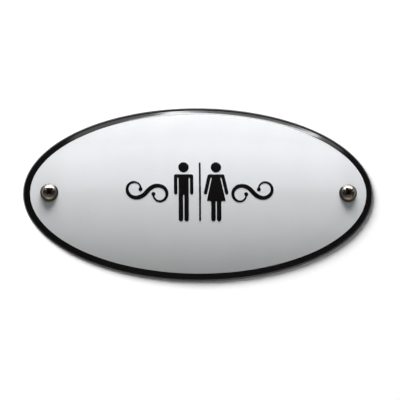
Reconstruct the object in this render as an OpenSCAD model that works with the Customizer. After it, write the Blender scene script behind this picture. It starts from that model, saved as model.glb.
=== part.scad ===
// A domed oval door sign of vitreous enamel on pressed steel, with its two screws.
// Frame: X runs along the sign, Z is up, and the face looks along -Y.
// The origin is the middle of the wall plane, y = 0, which the back of the rim rests on.

/* [Plate] */
// Width of the oval over its black edge
sign_w = 100; // [90:1:140]
// Height of the oval over its black edge
sign_h = 50; // [46:1:70]
// Rise of the dome from the rim to the crown
dome_rise = 4; // [2:0.25:6]
// How far the crown is flattened: 0 is a plain paraboloid
dome_flatness = 0.15; // [0:0.05:0.6]
// Thickness of the plate, steel and enamel together
plate_t = 1.5; // [1.3:0.1:2.2]
// Radius of the rounded front edge of the rim
edge_r = 0.9; // [0.5:0.05:1.1]
// Radius at the back edge of the rim
foot_r = 0.2; // [0.1:0.05:0.3]
// Width of the flat foot that the rim stands on
foot_w = 0.5; // [0.3:0.05:0.8]

/* [Black enamel] */
// Width of the black border, seen from the front
border_w = 2.05; // [1.4:0.05:3]
// Height of the black enamel above the white
black_t = 0.12; // [0.08:0.01:0.2]

/* [Pictogram] */
// Height of the two figures
figure_h = 17; // [12:0.5:22]
// Distance from the dividing bar to the middle of each figure
figure_gap = 4.6; // [4:0.1:7]
// Diameter of a figure's head
head_d = 3; // [2:0.1:4]
// Thickness of an arm
arm_d = 1; // [0.8:0.05:1.2]
// Thickness of a leg
leg_d = 1.3; // [1:0.05:1.5]
// Slit between two limbs that hang side by side
limb_slit = 0.3; // [0.2:0.05:0.5]
// Space between a figure's head and its shoulders
neck_gap = 0.5; // [0.3:0.1:1]
// Height of the hands above the middle of a figure
hand_y = -0.4; // [-1.5:0.1:1]
// Height of the man's hips above the middle of the figure
hip_y = -0.9; // [-2:0.1:0.5]
// Height of the woman's hem above the middle of the figure
hem_y = -2.7; // [-4:0.1:-1.5]
// Width of the woman's bodice at the shoulders
bodice_w = 2.2; // [1.6:0.1:3]
// Width of the skirt at its hem
skirt_w = 5.4; // [4.4:0.1:7]
// Width of the dividing bar
bar_w = 0.55; // [0.4:0.05:1]
// Space between the figures and the scrolls
scroll_gap = 1.4; // [1:0.1:4]
// Width of each scroll
scroll_w = 12.5; // [7:0.5:14]
// Turn of a scroll's stroke from its middle to each end
scroll_turn = 330; // [200:10:380]
// Slope of a scroll's stroke at its middle
scroll_lean = -50; // [-80:5:0]
// How late a scroll curls up: 1 is a plain arc
scroll_curl = 1.4; // [1.2:0.1:2]
// Width of a scroll's stroke at its middle
stroke_w = 1.25; // [0.8:0.05:1.8]
// Width of a scroll's stroke at its ends
hairline_w = 0.45; // [0.3:0.05:0.8]
// Diameter of the ball that ends each stroke
ball_d = 1.2; // [0.9:0.1:1.6]

/* [Screws] */
// Distance from each end of the sign to the middle of its hole
hole_inset = 7.5; // [6:0.25:10]
// Diameter of the holes in the plate
hole_d = 3.2; // [2.8:0.1:4]
// Outer diameter of the thread
thread_d = 2.5; // [2.2:0.1:2.7]
// Diameter of the smooth neck under the head
neck_d = 1.9; // [1.4:0.1:2]
// Diameter of the round head
screw_head_d = 5.2; // [4.6:0.1:6]
// Height of the round head
screw_head_h = 1.9; // [1.6:0.1:2.4]
// Length under the head
screw_l = 16; // [12:1:30]
// Length of the point
point_l = 3; // [2:0.5:5]
// Width across the cross recess
recess_w = 2.9; // [2.2:0.1:3.2]
// Width of each wing of the cross recess
wing_w = 0.65; // [0.5:0.05:0.9]
// Depth of the cross recess below the top of the head
recess_h = 1.3; // [0.8:0.1:1.4]
// Turn of the left screw's recess
left_turn = 42; // [0:1:89]
// Turn of the right screw's recess
right_turn = 33; // [0:1:89]

/* [Hidden] */

$fn = 64;
white = "#f4f7f8";
black = "#171617";
steel = "#a9a69f";

// Clearances, and sizes too small to be worth setting
seat_clear = 0.03; // between a screw's head and the dome
wall_clear = 0.3;  // from the wall plane back to the start of the thread
plain_side = 0.1;  // least height of plain rim between its front and back edges
cut_over = 1;      // how far a cutter runs past the face that it opens
tip_d = 0.2;       // diameter of the blunt end of a screw's point
recess_rim = 0.3;  // depth over which the cross recess keeps its full width
recess_tip = 0.45; // share of the recess's width that is left at its bottom

// Half sizes of the white plate, inside the black coat of its edge
half_w = sign_w / 2 - black_t;
half_h = sign_h / 2 - black_t;
rim_round = min(edge_r, plate_t - foot_r - plain_side);
border_in = border_w - black_t;
foot_in = foot_r + foot_w;
back_in = foot_in + foot_r;

segments = 96;
front_steps = 12;
back_steps = 8;
edge_steps = 5;

hole_x = sign_w / 2 - hole_inset;

// Height of the dome above the rim at a point of the sign's plane
function oval_share(x, y) = pow(x / half_w, 2) + pow(y / half_h, 2);
function dome(x, y) =
    let (q = min(1, oval_share(x, y)))
    dome_rise * ((1 - dome_flatness) * (1 - q) + dome_flatness * (1 - q * q));
function front_z(x, y) = plate_t + dome(x, y);

// A point of the outline, moved in by inset along the outline's normal
function outline(angle, inset) =
    let (c = cos(angle), s = sin(angle), n = norm([half_h * c, half_w * s]))
    [half_w * c - inset * half_h * c / n, half_h * s - inset * half_w * s / n];

// Rings of points. Each runs once round the oval, and share scales it towards the middle.
function ring_xy(inset, share = 1) =
    [for (i = [0 : segments - 1]) share * outline(360 * i / segments, inset)];
function front_ring(inset, share = 1, drop = 0, lift = 0) =
    [for (p = ring_xy(inset, share)) [p.x, p.y, front_z(p.x, p.y) - drop + lift]];
function back_ring(inset, share = 1) =
    [for (p = ring_xy(inset, share)) [p.x, p.y, dome(p.x, p.y)]];
function flat_ring(inset, z) = [for (p = ring_xy(inset)) [p.x, p.y, z]];

// The rounded front edge, from the face at turn 0 to the side of the rim at turn 90
function edge_ring(turn, coat = 0) =
    front_ring(rim_round * (1 - sin(turn)) - coat * sin(turn), 1,
               rim_round * (1 - cos(turn)), coat * cos(turn));
function edge_rings(coat = 0) =
    [for (i = [0 : edge_steps]) edge_ring(90 * i / edge_steps, coat)];

// The face inside the border, from near the crown to the border's inner edge
function face_rings(lift = 0) =
    [for (i = [1 : front_steps]) front_ring(border_in, i / front_steps, 0, lift)];
// The stretch of face that the border covers, before the edge turns down
function slope_ring(lift = 0) = front_ring((border_in + rim_round) / 2, 1, 0, lift);

foot_rings = [
    for (turn = [0, 45, 90]) flat_ring(foot_r * (1 - cos(turn)), foot_r * (1 - sin(turn))),
    flat_ring(foot_in, 0)
];
back_rings = [for (i = [back_steps : -1 : 1]) back_ring(back_in, i / back_steps)];

// Triangles between ring i and ring j, for rings that start at point first. The quads are cut
// along one diagonal on the way out and the other on the way back, so that a coat meets the
// plate on the very same triangles.
function band(first, i, j, back) = [
    for (k = [0 : segments - 1])
        let (a = first + i * segments + k, b = first + i * segments + (k + 1) % segments,
             c = first + j * segments + (k + 1) % segments, d = first + j * segments + k)
        each back ? [[a, b, d], [b, c, d]] : [[a, b, c], [a, c, d]]
];

// A closed shell: a crown point, rings out and then back in, and an end point
module capped_skin(crown, out, back, end) {
    rings = concat(out, back);
    last = 1 + len(rings) * segments;
    points = concat([crown], [for (r = rings) each r], [end]);
    polyhedron(points, concat(
        [for (k = [0 : segments - 1]) [0, 1 + (k + 1) % segments, 1 + k]],
        [for (i = [0 : len(rings) - 2]) each band(1, i, i + 1, i >= len(out))],
        [for (k = [0 : segments - 1])
            [last, last - segments + k, last - segments + (k + 1) % segments]]
    ));
}

// A closed hoop: rings out, and then back to the first one
module hoop_skin(out, back) {
    rings = concat(out, back);
    n = len(rings);
    polyhedron([for (r = rings) each r],
               [for (i = [0 : n - 1]) each band(0, i, (i + 1) % n, i >= len(out))]);
}

// The same rings in the other order
function reversed(rings) = [for (i = [len(rings) - 1 : -1 : 0]) rings[i]];

// Stands the sign up: modelled face up, it is turned to look along -Y
module upright() {
    rotate([90, 0, 0]) children();
}

module at_hole(side) {
    translate([side * hole_x, 0, 0]) children();
}

module plate() {
    color(white) upright() difference() {
        capped_skin(
            [0, 0, front_z(0, 0)],
            concat(face_rings(), [slope_ring()], edge_rings()),
            concat(foot_rings, back_rings),
            [0, 0, dome(0, 0)]
        );
        for (side = [-1, 1]) at_hole(side)
            cylinder(d = hole_d, h = front_z(0, 0) + cut_over);
    }
}

// The black coat shares the plate's own points, so the two meet face to face
module black_border() {
    side_foot = flat_ring(0, foot_r);
    coat_foot = flat_ring(-black_t, foot_r);
    inner = concat([front_ring(border_in), slope_ring()], edge_rings(), [side_foot]);
    outer = concat([front_ring(border_in, 1, 0, black_t), slope_ring(black_t)],
                   edge_rings(black_t), [coat_foot]);
    color(black) upright() hoop_skin(outer, reversed(inner));
}

// A thin layer of black that lies on the face, inside the border
module face_coat() {
    capped_skin(
        [0, 0, front_z(0, 0) + black_t],
        face_rings(black_t),
        reversed(face_rings()),
        [0, 0, front_z(0, 0)]
    );
}

// A limb with round ends
module limb(from, to, d) {
    hull() {
        translate(from) circle(d = d, $fn = 16);
        translate(to) circle(d = d, $fn = 16);
    }
}

shoulder_y = figure_h / 2 - head_d - neck_gap - arm_d / 2;
foot_y = (leg_d - figure_h) / 2;
leg_x = (leg_d + limb_slit) / 2;
hip_x = leg_x + leg_d / 2;

// A figure: its body runs straight from half width top_x at the shoulders to hem_x at body_y,
// and the arms hang beside it, a slit away
module figure(top_x, hem_x, body_y) {
    lean = (hem_x - top_x) / (shoulder_y - body_y);
    arm_out = (limb_slit + arm_d / 2) * norm([1, lean]);
    hand_x = top_x + lean * (shoulder_y - hand_y);
    arm_x = top_x + arm_out;
    translate([0, (figure_h - head_d) / 2]) circle(d = head_d, $fn = 28);
    translate([-arm_x, shoulder_y - arm_d / 2]) square([2 * arm_x, arm_d]);
    polygon([[-top_x, shoulder_y], [-hem_x, body_y], [hem_x, body_y], [top_x, shoulder_y]]);
    for (side = [0, 1]) mirror([side, 0]) {
        limb([arm_x, shoulder_y], [hand_x + arm_out, hand_y], arm_d);
        limb([leg_x, body_y], [leg_x, foot_y], leg_d);
    }
}

// The centre line of a scroll. Its heading grows ever faster with the distance from the
// middle, so it curls up into a spiral at each end.
scroll_steps = 32;
function scroll_heading(t) = scroll_lean + scroll_turn * pow(t, scroll_curl);
function scroll_line(i = 0, at = [0, 0], t = 0) =
    i > scroll_steps ? [] :
    let (next = (i + 1) / scroll_steps, mid = scroll_heading((t + next) / 2))
    concat([at], scroll_line(i + 1, at + [cos(mid), sin(mid)] / scroll_steps, next));

half_line = scroll_line();
line_w = 2 * max([for (p = half_line) abs(p.x)]);
scroll_scale = (scroll_w - stroke_w) / line_w;

// One edge of the stroke from the middle out to an end
function stroke_half(t) =
    (hairline_w + (stroke_w - hairline_w) * pow(cos(90 * t), 1.5)) / 2;
function stroke_edge(side) = [
    for (i = [0 : scroll_steps])
        let (t = i / scroll_steps, h = scroll_heading(t))
        scroll_scale * half_line[i] + side * stroke_half(t) * [-sin(h), cos(h)]
];

module scroll() {
    far = scroll_scale * half_line[scroll_steps];
    left_edge = stroke_edge(1);
    right_edge = stroke_edge(-1);
    for (turn = [0, 180]) rotate(turn) {
        polygon(concat(left_edge, reversed(right_edge)));
        translate(far) circle(d = ball_d, $fn = 20);
    }
}

module artwork() {
    scroll_x = figure_gap + skirt_w / 2 + scroll_gap + scroll_w / 2;
    translate([-figure_gap, 0]) figure(hip_x, hip_x, hip_y);
    translate([figure_gap, 0]) figure(bodice_w / 2, skirt_w / 2, hem_y);
    limb([0, (figure_h - bar_w) / 2], [0, (bar_w - figure_h) / 2], bar_w);
    for (side = [0, 1]) mirror([side, 0]) translate([scroll_x, 0]) scroll();
}

module pictogram() {
    color(black) upright() intersection() {
        face_coat();
        linear_extrude(front_z(0, 0) + cut_over) artwork();
    }
}

// The highest point of the dome that the underside of a head reaches over
seat_z = front_z(hole_x - screw_head_d / 2, 0) + seat_clear;

module screw_head() {
    ball_r = (pow(screw_head_h, 2) + pow(screw_head_d / 2, 2)) / (2 * screw_head_h);
    difference() {
        intersection() {
            translate([0, 0, screw_head_h - ball_r]) sphere(ball_r);
            cylinder(d = screw_head_d, h = screw_head_h);
        }
        for (turn = [0, 90]) rotate([90, 0, turn]) translate([0, 0, -wing_w / 2])
            linear_extrude(wing_w) recess_wing();
    }
}

module recess_wing() {
    bottom = screw_head_h - recess_h;
    shoulder = screw_head_h - recess_rim;
    half = recess_w / 2;
    polygon([[-half, screw_head_h + cut_over], [-half, shoulder], [-half * recess_tip, bottom],
             [half * recess_tip, bottom], [half, shoulder], [half, screw_head_h + cut_over]]);
}

module screw(turn) {
    thread_z = -wall_clear - seat_z;
    point_z = point_l - screw_l;
    color(steel) union() {
        rotate(turn) screw_head();
        translate([0, 0, thread_z]) cylinder(d = neck_d, h = -thread_z);
        translate([0, 0, point_z]) cylinder(d = thread_d, h = thread_z - point_z);
        translate([0, 0, -screw_l]) cylinder(d1 = tip_d, d2 = thread_d, h = point_l);
    }
}

module left_screw() {
    upright() at_hole(-1) translate([0, 0, seat_z]) screw(left_turn);
}

module right_screw() {
    upright() at_hole(1) translate([0, 0, seat_z]) screw(right_turn);
}

plate();
black_border();
pictogram();
left_screw();
right_screw();
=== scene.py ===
"""A domed oval door sign of vitreous enamel on pressed steel, with its two round-head screws.

Every piece is built in millimetres in the sign's own plane, where x runs along the sign, y up
it and z out of its face. upright() then stands it up in the frame, in metres.
"""

from __future__ import annotations

import logging
import math
from dataclasses import dataclass
from enum import Enum
from typing import Any, Callable, Mapping, Sequence

import bmesh
import bpy
import numpy as np
from mathutils import Matrix, Quaternion, Vector, geometry, kdtree, noise


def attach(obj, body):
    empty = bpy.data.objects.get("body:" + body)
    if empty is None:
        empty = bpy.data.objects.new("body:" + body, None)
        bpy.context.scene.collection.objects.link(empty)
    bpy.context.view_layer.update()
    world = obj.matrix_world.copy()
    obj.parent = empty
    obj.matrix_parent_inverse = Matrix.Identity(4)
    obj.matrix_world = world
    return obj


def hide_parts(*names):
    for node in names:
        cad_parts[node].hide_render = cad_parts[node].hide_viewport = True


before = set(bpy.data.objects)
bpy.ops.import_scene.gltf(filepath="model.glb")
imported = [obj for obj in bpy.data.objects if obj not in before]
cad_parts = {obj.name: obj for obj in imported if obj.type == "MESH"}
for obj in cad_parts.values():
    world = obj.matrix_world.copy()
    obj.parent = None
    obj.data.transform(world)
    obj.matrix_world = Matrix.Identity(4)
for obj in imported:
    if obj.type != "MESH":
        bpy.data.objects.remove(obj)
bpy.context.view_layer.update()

LOG = logging.getLogger("door_sign")
MM = 0.001
BODY = "root"
SUNK = 0.02  # how far a coat reaches into the plate, so that no gap shows under it
ROW = 0.866  # the distance between a triangular grid's rows, in steps
WELD = 1e-5  # points closer than this become one
CROSSING = 1e-6  # how near lines must come to cross

Triple = tuple[float, float, float]
Colour = Triple
Height = Callable[[np.ndarray], np.ndarray]

WHITE: Colour = (1.0, 1.0, 1.0)


# Shader graphs


class Ray(Enum):
    """The kinds of ray that the stage's materials tell apart."""

    CAMERA = "Is Camera Ray"
    GLOSSY = "Is Glossy Ray"
    TRANSMISSION = "Is Transmission Ray"


class Channel:
    """A node socket that takes part in Python expressions; each operator adds a Math node."""

    def __init__(self, graph: Graph, socket: bpy.types.NodeSocket | None) -> None:
        """Keeps the socket and the graph that it belongs to."""
        self.graph = graph
        self.socket = socket

    def _math(self, operation: str, *terms: Channel | float) -> Channel:
        """Adds a Math node on the terms."""
        return self.graph.node("ShaderNodeMath", {"operation": operation}, dict(enumerate(terms)))

    def __add__(self, other: Channel | float) -> Channel:
        """Adds."""
        return self._math("ADD", self, other)

    def __radd__(self, other: float) -> Channel:
        """Adds, with the number first."""
        return self._math("ADD", other, self)

    def __sub__(self, other: Channel | float) -> Channel:
        """Subtracts."""
        return self._math("SUBTRACT", self, other)

    def __rsub__(self, other: float) -> Channel:
        """Subtracts this from a number."""
        return self._math("SUBTRACT", other, self)

    def __mul__(self, other: Channel | float) -> Channel:
        """Multiplies."""
        return self._math("MULTIPLY", self, other)

    def __rmul__(self, other: float) -> Channel:
        """Multiplies, with the number first."""
        return self._math("MULTIPLY", other, self)

    def __lt__(self, other: Channel | float) -> Channel:
        """1 where this is less."""
        return self._math("LESS_THAN", self, other)

    def __gt__(self, other: Channel | float) -> Channel:
        """1 where this is more; it is also what a number < this comes to."""
        return self._math("GREATER_THAN", self, other)

    def either(self, other: Channel | float) -> Channel:
        """The larger of the two."""
        return self._math("MAXIMUM", self, other)

    def ease(self, low: float, high: float) -> Channel:
        """Rises smoothly from 0 at low to 1 at high.

        Args:
            low: where the rise starts.
            high: where it ends; less than low for a fall.

        Returns:
            The eased value.
        """
        return self.graph.node("ShaderNodeMapRange", {"interpolation_type": "SMOOTHSTEP"},
                               {"Value": self, "From Min": low, "From Max": high})


class Graph:
    """A node tree that is being written."""

    def __init__(self, tree: bpy.types.NodeTree) -> None:
        """Empties the tree."""
        self.tree = tree
        tree.nodes.clear()

    def node(self, kind: str, settings: Mapping[str, Any] | None = None,
             inputs: Mapping[str | int, Any] | None = None,
             output: str | int = 0) -> Channel:
        """Adds a node of any type.

        Args:
            kind: the node's type.
            settings: its properties, which are set first.
            inputs: values or channels for its sockets, by name or number.
            output: the output to hand back, by name or number.

        Returns:
            The chosen output.
        """
        made = self.tree.nodes.new(kind)
        for name, value in (settings or {}).items():
            setattr(made, name, value)
        for name, value in (inputs or {}).items():
            socket = self._socket(made.inputs, name)
            if isinstance(value, Channel):
                self.tree.links.new(value.socket, socket)
            else:
                socket.default_value = value
        outputs = [s for s in made.outputs if s.enabled]
        return Channel(self, self._socket(outputs, output) if outputs else None)

    @staticmethod
    def _socket(sockets: Sequence[bpy.types.NodeSocket], name: str | int) -> bpy.types.NodeSocket:
        """Finds a socket.

        Args:
            sockets: the sockets to look in.
            name: its number, or its name among those that the settings leave on.

        Returns:
            The socket.
        """
        if isinstance(name, int):
            return sockets[name]
        return next(s for s in sockets if s.name == name and s.enabled)

    def place(self) -> Channel:
        """The place on the object, in millimetres along the frame's axes."""
        metres = self.node("ShaderNodeTexCoord", output="Object")
        return self.node("ShaderNodeVectorMath", {"operation": "SCALE"},
                         {0: metres, "Scale": 1 / MM})

    def axes(self, vector: Channel) -> tuple[Channel, Channel, Channel]:
        """Splits a vector into its three numbers."""
        parts = self.node("ShaderNodeSeparateXYZ", None, {0: vector})
        return tuple(Channel(self, s) for s in parts.socket.node.outputs)

    def stretched(self, vector: Channel, factors: Triple) -> Channel:
        """Multiplies a vector, axis by axis."""
        return self.node("ShaderNodeVectorMath", {"operation": "MULTIPLY"}, {0: vector, 1: factors})

    def grain(self, place: Channel, size: float, detail: float) -> Channel:
        """Soft noise about 0.5.

        Args:
            place: where it is read, in millimetres.
            size: the length of its largest waves, in millimetres.
            detail: how many finer layers are added.

        Returns:
            The noise.
        """
        return self.node("ShaderNodeTexNoise", None,
                         {"Vector": place, "Scale": 1 / size, "Detail": detail})

    def clouds(self, place: Channel, size: float, detail: float) -> Channel:
        """Soft patches: noise of the same kind, eased so that it spans 0 to 1."""
        return self.grain(place, size, detail).ease(0.35, 0.7)

    def dots(self, place: Channel, spacing: float, radius: float, share: float) -> Channel:
        """Small round dots at random places.

        Args:
            place: where they are read, in millimetres.
            spacing: the mean distance between places for a dot.
            radius: a dot's largest radius, in millimetres.
            share: the share of those places that hold a dot.

        Returns:
            1 inside a dot and 0 outside.
        """
        smallest, soft_edge = 0.3, 0.25  # shares of the radius
        cell = {"Vector": place, "Scale": 1 / spacing}
        distance = self.node("ShaderNodeTexVoronoi", None, cell, "Distance")
        colour = self.node("ShaderNodeTexVoronoi", None, cell, "Color")
        pick, size, _ = self.axes(colour)
        reach = (size * (1 - smallest) + smallest) * (pick < share) * (radius / spacing)
        return (reach - distance).ease(0.0, soft_edge * radius / spacing)

    def mix(self, factor: Channel | float, first: Channel | Colour,
            second: Channel | Colour) -> Channel:
        """Mixes two colours."""
        ends = [c if isinstance(c, Channel) else opaque(c) for c in (first, second)]
        return self.node("ShaderNodeMix", {"data_type": "RGBA"},
                         {"Factor": factor, "A": ends[0], "B": ends[1]}, "Result")

    def bump(self, height: Channel, depth: float, under: Channel | None = None) -> Channel:
        """A normal bent by a height.

        Args:
            height: the height, about 0 to 1.
            depth: how far a height of 1 stands up, in millimetres.
            under: a normal that is bent already.

        Returns:
            The bent normal.
        """
        inputs = {"Height": height, "Distance": depth * MM, "Strength": 1.0}
        if under is not None:
            inputs["Normal"] = under
        return self.node("ShaderNodeBump", None, inputs)

    def ray(self, kind: Ray) -> Channel:
        """1 for rays of one kind."""
        return self.node("ShaderNodeLightPath", output=kind.value)

    def blend(self, factor: Channel, first: Channel, second: Channel) -> Channel:
        """Mixes two shaders."""
        return self.node("ShaderNodeMixShader", None, {0: factor, 1: first, 2: second})

    def finish(self, shader: Channel, output: str = "ShaderNodeOutputMaterial") -> None:
        """Sends a shader to the tree's output."""
        self.node(output, None, {"Surface": shader})

    def dress(self, inputs: Mapping[str, Any]) -> None:
        """Ends a piece's material in a Principled shader with these inputs."""
        self.finish(self.node("ShaderNodeBsdfPrincipled", None, inputs))


def opaque(colour: Colour) -> tuple[float, float, float, float]:
    """Gives a colour the fourth number that colour sockets hold."""
    return (*colour, 1.0)


def new_graph(name: str) -> tuple[bpy.types.Material, Graph]:
    """Makes a material with an empty node tree.

    Args:
        name: the material's name.

    Returns:
        The material and its graph.
    """
    material = bpy.data.materials.new(name)
    material.use_nodes = True
    return material, Graph(material.node_tree)


# Finishes


@dataclass(frozen=True)
class GlossyEnamel:
    """Glass enamel, fired smooth, with the faint waves and specks of a fired coat."""

    name: str
    colour: Colour
    cloud: Colour
    speck: Colour
    cloud_size: float = 9.0
    roughness: float = 0.07
    haze: float = 0.05  # how much rougher it is in places
    haze_size: float = 5.0
    ripple: float = 3.0  # length of the fine waves
    ripple_depth: float = 0.006
    swell: float = 13.0  # length of the long waves
    swell_depth: float = 0.05
    speck_spacing: float = 2.6
    speck_radius: float = 0.14
    speck_share: float = 0.16
    speck_cover: float = 0.7
    speck_haze: float = 0.2
    speck_depth: float = -0.01  # specks are small pits

    def material(self) -> bpy.types.Material:
        """Builds the enamel's material.

        Returns:
            The material.
        """
        material, graph = new_graph(self.name)
        place = graph.place()
        specks = graph.dots(place, self.speck_spacing, self.speck_radius, self.speck_share)
        colour = graph.mix(graph.clouds(place, self.cloud_size, 3.0), self.colour, self.cloud)
        haze = graph.grain(place, self.haze_size, 4.0)
        waves = graph.bump(graph.grain(place, self.swell, 0.0), self.swell_depth)
        ripples = graph.bump(graph.grain(place, self.ripple, 1.0), self.ripple_depth, waves)
        graph.dress({
            "Base Color": graph.mix(specks * self.speck_cover, colour, self.speck),
            "Roughness": self.roughness + haze * self.haze + specks * self.speck_haze,
            "Normal": graph.bump(specks, self.speck_depth, ripples),
        })
        return material


@dataclass(frozen=True)
class GroundCoat:
    """The dark coat behind the plate, with white overspray that fades in from the rim."""

    oval: DomedOval
    name: str = "ground_coat"
    colour: Colour = (0.022, 0.024, 0.03)
    cloud: Colour = (0.05, 0.052, 0.058)
    fleck: Colour = (0.42, 0.43, 0.44)
    cloud_size: float = 7.0
    roughness: float = 0.24
    dry: float = 0.2  # how much rougher it is in places
    rim_from: float = 0.55  # where the overspray starts: 0 in the middle, 1 at the outline
    rim_spray: float = 0.3
    spray_size: float = 0.7
    spray_range: tuple[float, float] = (0.72, 0.86)
    spray_cover: float = 0.75
    fleck_spacing: float = 1.1
    fleck_radius: float = 0.2
    fleck_share: float = 0.22
    fleck_cover: float = 0.6
    fleck_depth: float = 0.012
    peel_size: float = 1.6
    peel_depth: float = 0.03

    def material(self) -> bpy.types.Material:
        """Builds the material of the sign's back.

        Returns:
            The material.
        """
        material, graph = new_graph(self.name)
        place = graph.place()
        x, _, z = graph.axes(place)
        along, up = x * (1 / self.oval.half_w), z * (1 / self.oval.half_h)
        rim = (along * along + up * up).ease(self.rim_from, 1.0)
        fine = graph.grain(place, self.spray_size, 3.0)
        spray = (fine + rim * self.rim_spray).ease(*self.spray_range)
        flecks = graph.dots(place, self.fleck_spacing, self.fleck_radius, self.fleck_share)
        cloud = graph.mix(graph.clouds(place, self.cloud_size, 5.0), self.colour, self.cloud)
        dusted = graph.mix(spray * self.spray_cover, cloud, self.fleck)
        orange_peel = graph.bump(graph.grain(place, self.peel_size, 2.0), self.peel_depth)
        graph.dress({
            "Base Color": graph.mix(flecks * self.fleck_cover, dusted, self.fleck),
            "Roughness": self.roughness + fine * self.dry,
            "Normal": graph.bump(flecks.either(spray), self.fleck_depth, orange_peel),
        })
        return material


@dataclass(frozen=True)
class NickelPlate:
    """Bright plate on the screws, with painted shade that makes it dull and dark down in the
    recess, between the threads and round the head's lower edge.
    """

    name: str = "nickel_plate"
    colour: Colour = (0.6, 0.56, 0.52)
    tarnish: Colour = (0.36, 0.32, 0.26)
    # painted shade: the near-black colour that the recess, the thread's roots and the head's lower
    # edge are mixed towards
    painted_shade: Colour = (0.035, 0.03, 0.022)
    edge: Colour = (0.4, 0.37, 0.32)
    roughness: float = 0.15
    stain_size: float = 1.3
    stain_range: tuple[float, float] = (0.4, 0.75)
    stain_cover: float = 0.6
    stain_haze: float = 0.08
    brushed: Triple = (1.0, 9.0, 3.0)  # how closely the scratches lie along each axis
    scratch_size: float = 0.5
    scratch_haze: float = 0.1
    scratch_depth: float = 0.004
    painted_shade_cover: float = 0.95
    painted_shade_dull: float = 0.5
    painted_shade_haze: float = 0.25
    lighter_top: float = 0.9  # how much less painted shade the upper half of a head holds, so that its top stays light
    lighter_top_range: tuple[float, float] = (1.2, 2.2)  # heights above the screw's middle

    def material(self) -> bpy.types.Material:
        """Builds the metal's material; its "depth" is the mesh's own attribute, which holds painted
        shade.

        Returns:
            The material.
        """
        material, graph = new_graph(self.name)
        place = graph.place()
        _, _, up = graph.axes(place)
        # the "depth" attribute is painted shade in the recess, between the threads and round the
        # head's lower edge; it is lessened on the upper half of the head, which stays light
        depth = graph.node("ShaderNodeAttribute", {"attribute_name": "depth"}, None, "Fac")
        painted_shade = depth * (1 - up.ease(*self.lighter_top_range) * self.lighter_top)
        stain = graph.grain(place, self.stain_size, 5.0).ease(*self.stain_range)
        scratches = graph.grain(graph.stretched(place, self.brushed), self.scratch_size, 6.0)
        plated = graph.mix(stain * self.stain_cover, self.colour, self.tarnish)
        graph.dress({
            "Base Color": graph.mix(painted_shade * self.painted_shade_cover, plated, self.painted_shade),
            "Metallic": 1.0 - painted_shade * self.painted_shade_dull,
            "Roughness": (self.roughness + stain * self.stain_haze
                          + scratches * self.scratch_haze + painted_shade * self.painted_shade_haze),
            "Specular IOR Level": 0.15,
            "Specular Tint": opaque(self.edge),
            "Normal": graph.bump(scratches, self.scratch_depth),
        })
        return material


# Shapes


@dataclass(frozen=True)
class DomedOval:
    """The oval that the plate is pressed to, inside the black coat of its edge."""

    half_w: float = 49.88
    half_h: float = 24.88
    rise: float = 4.0
    flatness: float = 0.15
    thickness: float = 1.5
    rim_round: float = 0.9  # radius of the front edge
    foot_round: float = 0.2  # radius of the back edge
    hole_x: float = 42.5  # from the middle to each hole
    segments: int = 480  # points round the rim

    def back(self, xy: np.ndarray) -> np.ndarray:
        """The height of the plate's back over each point."""
        q = np.minimum(1.0, (xy[:, 0] / self.half_w) ** 2 + (xy[:, 1] / self.half_h) ** 2)
        return self.rise * ((1 - self.flatness) * (1 - q) + self.flatness * (1 - q * q))

    def front(self, xy: np.ndarray) -> np.ndarray:
        """The height of the plate's face over each point."""
        return self.thickness + self.back(xy)

    def outline(self, inset: float) -> np.ndarray:
        """Points round the oval, moved in along the outline's normal.

        Args:
            inset: how far in.

        Returns:
            The points, anticlockwise from the right-hand end.
        """
        turn = np.linspace(0.0, 2 * np.pi, self.segments, endpoint=False)
        c, s = np.cos(turn), np.sin(turn)
        n = np.hypot(self.half_h * c, self.half_w * s)
        return np.column_stack([self.half_w * c - inset * self.half_h * c / n,
                                self.half_h * s - inset * self.half_w * s / n])

    def over_rim(self, turn: float, coat: float = 0.0) -> np.ndarray:
        """A ring of points over the rounded front edge.

        Args:
            turn: how far round the edge it lies: 0 on the face, a quarter turn at the side.
            coat: how far it stands off the plate.

        Returns:
            The points, with their heights.
        """
        inset = self.rim_round * (1 - math.sin(turn)) - coat * math.sin(turn)
        drop = self.rim_round * (1 - math.cos(turn)) - coat * math.cos(turn)
        flat = self.outline(inset)
        return raised(flat, self.front(flat) - drop)

    def grid(self, inset: float, step: float) -> np.ndarray:
        """A triangular grid of points inside the outline.

        Args:
            inset: how far the grid stays inside the outline.
            step: the distance between points.

        Returns:
            The points.
        """
        rows = int(self.half_h / (step * ROW)) + 1
        columns = int(self.half_w / step) + 1
        points = np.array([((i + (j % 2) / 2) * step, j * step * ROW)
                           for j in range(-rows, rows + 1) for i in range(-columns, columns + 1)])
        share = np.hypot(points[:, 0] / (self.half_w - inset), points[:, 1] / (self.half_h - inset))
        return points[share < 1]


def quarter_turn(count: int, start: float = 0.0, end: float = 90.0) -> np.ndarray:
    """The angles of a rounded edge's rings, given in degrees and handed back in radians."""
    return np.radians(np.linspace(start, end, count))


def circle(centre: Sequence[float], radius: float, count: int) -> np.ndarray:
    """Points round a circle, anticlockwise."""
    turn = np.linspace(0.0, 2 * np.pi, count, endpoint=False)
    return np.asarray(centre) + radius * np.column_stack([np.cos(turn), np.sin(turn)])


def raised(xy: np.ndarray, z: np.ndarray | float) -> np.ndarray:
    """Gives points of the plane a height."""
    return np.column_stack([xy, np.broadcast_to(z, len(xy))])


def away_from(points: np.ndarray, keep_off: np.ndarray, distance: float) -> np.ndarray:
    """Picks the points that keep clear of another set.

    Args:
        points: the points to pick from.
        keep_off: the points to keep clear of.
        distance: how far.

    Returns:
        The picked points.
    """
    tree = kdtree.KDTree(len(keep_off))
    for i, (x, y) in enumerate(keep_off):
        tree.insert((x, y, 0.0), i)
    tree.balance()
    far = [tree.find((x, y, 0.0))[2] > distance for x, y in points]
    return points[np.array(far, bool)]


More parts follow.
